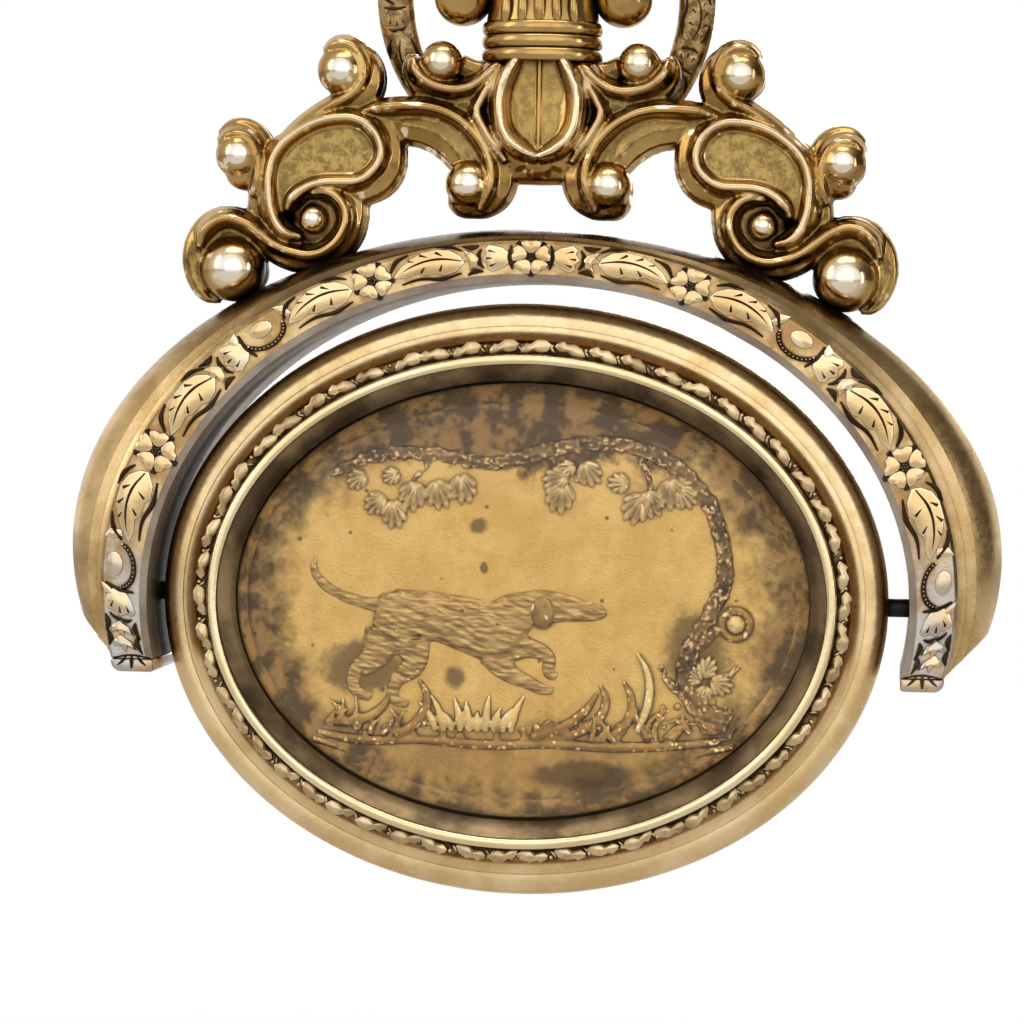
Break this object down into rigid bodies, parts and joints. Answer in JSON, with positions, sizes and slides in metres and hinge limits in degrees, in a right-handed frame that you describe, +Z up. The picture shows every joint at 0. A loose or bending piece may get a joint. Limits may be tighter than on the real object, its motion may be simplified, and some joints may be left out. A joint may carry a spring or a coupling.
{
  "type": "pocket watch fob",
  "caption": "Gilt swivel seal fob: folding suspension ring, stem, scroll crest, chased half-hoop yoke, and a double-faced oval seal that turns on steel side pins.",
  "frame": {"origin": "centre of the pendant eye, which the suspension ring passes through", "axes": "+Z up along the stem, +X to the right along the seal's pivot axis, front face towards -Y"},
  "size_m": [0.0442, 0.008, 0.0525],
  "materials": {
    "gilt": "polished gilding, darkened in the hollows",
    "chased_gilt": "chased gilding, worn to silver grey in places",
    "ring_gilt": "chased gilding, dulled",
    "seal_gilt": "brushed gilding with small dents",
    "polished_gilt": "bright polish",
    "worn_metal": "bare, toned grey-brown",
    "dark_steel": "blackened",
    "clear_stone": "clear, flat polished table and bevel",
    "gold_foil": "matt granular gold, stained at the edge"
  },
  "bodies": {
    "hanger": {"pendant_eye": "gilt", "stem_front_shell": "gilt", "stem_back_shell": "gilt", "collar": "gilt", "crest_front_shell": "gilt", "crest_back_shell": "gilt", "yoke_crown": "gilt", "yoke_front_rim": "chased_gilt", "yoke_back_rim": "chased_gilt", "yoke_liner": "worn_metal", "left_end_cap": "chased_gilt", "right_end_cap": "chased_gilt", "left_pivot_pin": "dark_steel", "right_pivot_pin": "dark_steel"},
    "ring": {"suspension_ring": "ring_gilt"},
    "seal": {"seal_front_frame": "seal_gilt", "seal_back_frame": "seal_gilt", "front_leaf_border": "chased_gilt", "back_leaf_border": "chased_gilt", "front_bezel": "polished_gilt", "back_bezel": "polished_gilt", "front_collet": "worn_metal", "back_collet": "worn_metal", "front_stone": "clear_stone", "back_stone": "clear_stone", "front_foil": "gold_foil", "back_foil": "gold_foil", "centre_plate": "worn_metal", "left_bearing_tube": "worn_metal", "right_bearing_tube": "worn_metal"}
  },
  "joints": [
    {"name": "seal_spin", "type": "hinge", "parent": "hanger", "child": "seal", "pos_m": [0, 0, -0.0365], "axis": [1, 0, 0], "continuous": true},
    {"name": "ring_swing", "type": "hinge", "parent": "hanger", "child": "ring", "pos_m": [0, 0, 0], "axis": [1, 0, 0], "range_deg": [0, 334]}
  ]
}
